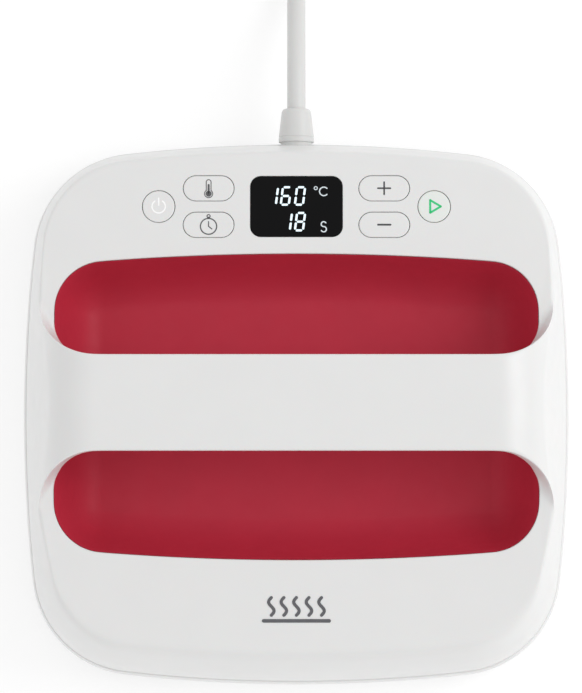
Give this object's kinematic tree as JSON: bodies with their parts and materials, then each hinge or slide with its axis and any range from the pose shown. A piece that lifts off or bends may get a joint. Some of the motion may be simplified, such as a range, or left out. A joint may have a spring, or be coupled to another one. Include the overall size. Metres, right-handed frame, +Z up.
{
  "type": "heat press",
  "caption": "Handheld heat press with a square heated plate, bridge handle over a red grip well, control panel, mains cord and plug.",
  "frame": {"origin": "centre of the heat plate's working face, which rests on the work", "axes": "+Z up from the working face, +Y towards the control panel and the cord, +X to the right seen from the front"},
  "size_m": [0.309, 0.515, 0.105],
  "materials": {
    "white_shell": "satin",
    "raspberry_shell": "satin",
    "heat_resistant_plastic": "fine texture",
    "silicone_seal": "matte",
    "coated_plate": "non-stick coating",
    "element_steel": "mill",
    "bright_steel": "zinc plated",
    "ceramic": "glazed",
    "insulation_felt": "felt",
    "display_black": "gloss",
    "dark_plastic": "moulded",
    "circuit_board": "solder mask",
    "button_white": "satin",
    "button_green": "translucent, lit",
    "emblem_grey": "printed",
    "yellow_parts": "moulded",
    "fuse_glass": "clear",
    "aluminium_fins": "extruded",
    "nylon": "moulded",
    "lead_sleeve": "sleeved",
    "cord_sheath": "soft PVC",
    "tie_strap": "hook and loop",
    "plated_brass": "nickel plated"
  },
  "bodies": {
    "body": {"top_housing": "white_shell", "base_ring": "white_shell", "grip_well": "raspberry_shell", "handle_grip": "raspberry_shell", "base_frame": "heat_resistant_plastic", "frame_seal": "silicone_seal", "heat_plate": "coated_plate", "heating_element": "element_steel", "element_clips": "bright_steel", "insulation_pad": "insulation_felt", "heat_shield": "element_steel", "shield_standoffs": "ceramic", "shield_screws": "bright_steel", "temperature_sensor": "ceramic", "thermal_fuse": "ceramic", "display_lens": "display_black", "display_module": "dark_plastic", "control_pcb": "circuit_board", "tact_switches": "dark_plastic", "buzzer": "dark_plastic", "front_emblem": "emblem_grey", "power_pcb": "circuit_board", "relay": "dark_plastic", "transformer": "yellow_parts", "film_capacitor": "yellow_parts", "mains_fuse": "fuse_glass", "heatsink": "aluminium_fins", "triac": "dark_plastic", "terminal_block": "nylon", "mains_leads": "lead_sleeve", "heater_leads": "lead_sleeve", "earth_lead": "lead_sleeve", "ribbon_cable": "lead_sleeve", "cord_clamp": "dark_plastic", "clamp_screws": "bright_steel", "pcb_screws": "bright_steel", "housing_screws": "bright_steel", "grip_screws": "bright_steel", "strain_relief": "cord_sheath", "cord": "cord_sheath", "cord_coil": "cord_sheath", "cord_tail": "cord_sheath", "cord_tie": "tie_strap", "plug_body": "cord_sheath", "plug_pins": "plated_brass", "earth_contacts": "plated_brass"},
    "power_key": {"power_button": "button_white"},
    "temperature_key": {"temperature_button": "button_white"},
    "timer_key": {"timer_button": "button_white"},
    "plus_key": {"plus_button": "button_white"},
    "minus_key": {"minus_button": "button_white"},
    "start_key": {"start_button": "button_green"}
  },
  "joints": [
    {"name": "power_press", "type": "slide", "parent": "body", "child": "power_key", "axis": [0, -0.1184, -0.993], "range_m": [0, 0.0006], "stiffness_N_per_m": 900, "springref_m": -0.0004},
    {"name": "temperature_press", "type": "slide", "parent": "body", "child": "temperature_key", "axis": [0, -0.1184, -0.993], "range_m": [0, 0.0006], "stiffness_N_per_m": 900, "springref_m": -0.0004},
    {"name": "timer_press", "type": "slide", "parent": "body", "child": "timer_key", "axis": [0, -0.1184, -0.993], "range_m": [0, 0.0006], "stiffness_N_per_m": 900, "springref_m": -0.0004},
    {"name": "plus_press", "type": "slide", "parent": "body", "child": "plus_key", "axis": [0, -0.1184, -0.993], "range_m": [0, 0.0006], "stiffness_N_per_m": 900, "springref_m": -0.0004},
    {"name": "minus_press", "type": "slide", "parent": "body", "child": "minus_key", "axis": [0, -0.1184, -0.993], "range_m": [0, 0.0006], "stiffness_N_per_m": 900, "springref_m": -0.0004},
    {"name": "start_press", "type": "slide", "parent": "body", "child": "start_key", "axis": [0, -0.1184, -0.993], "range_m": [0, 0.0006], "stiffness_N_per_m": 900, "springref_m": -0.0004}
  ]
}
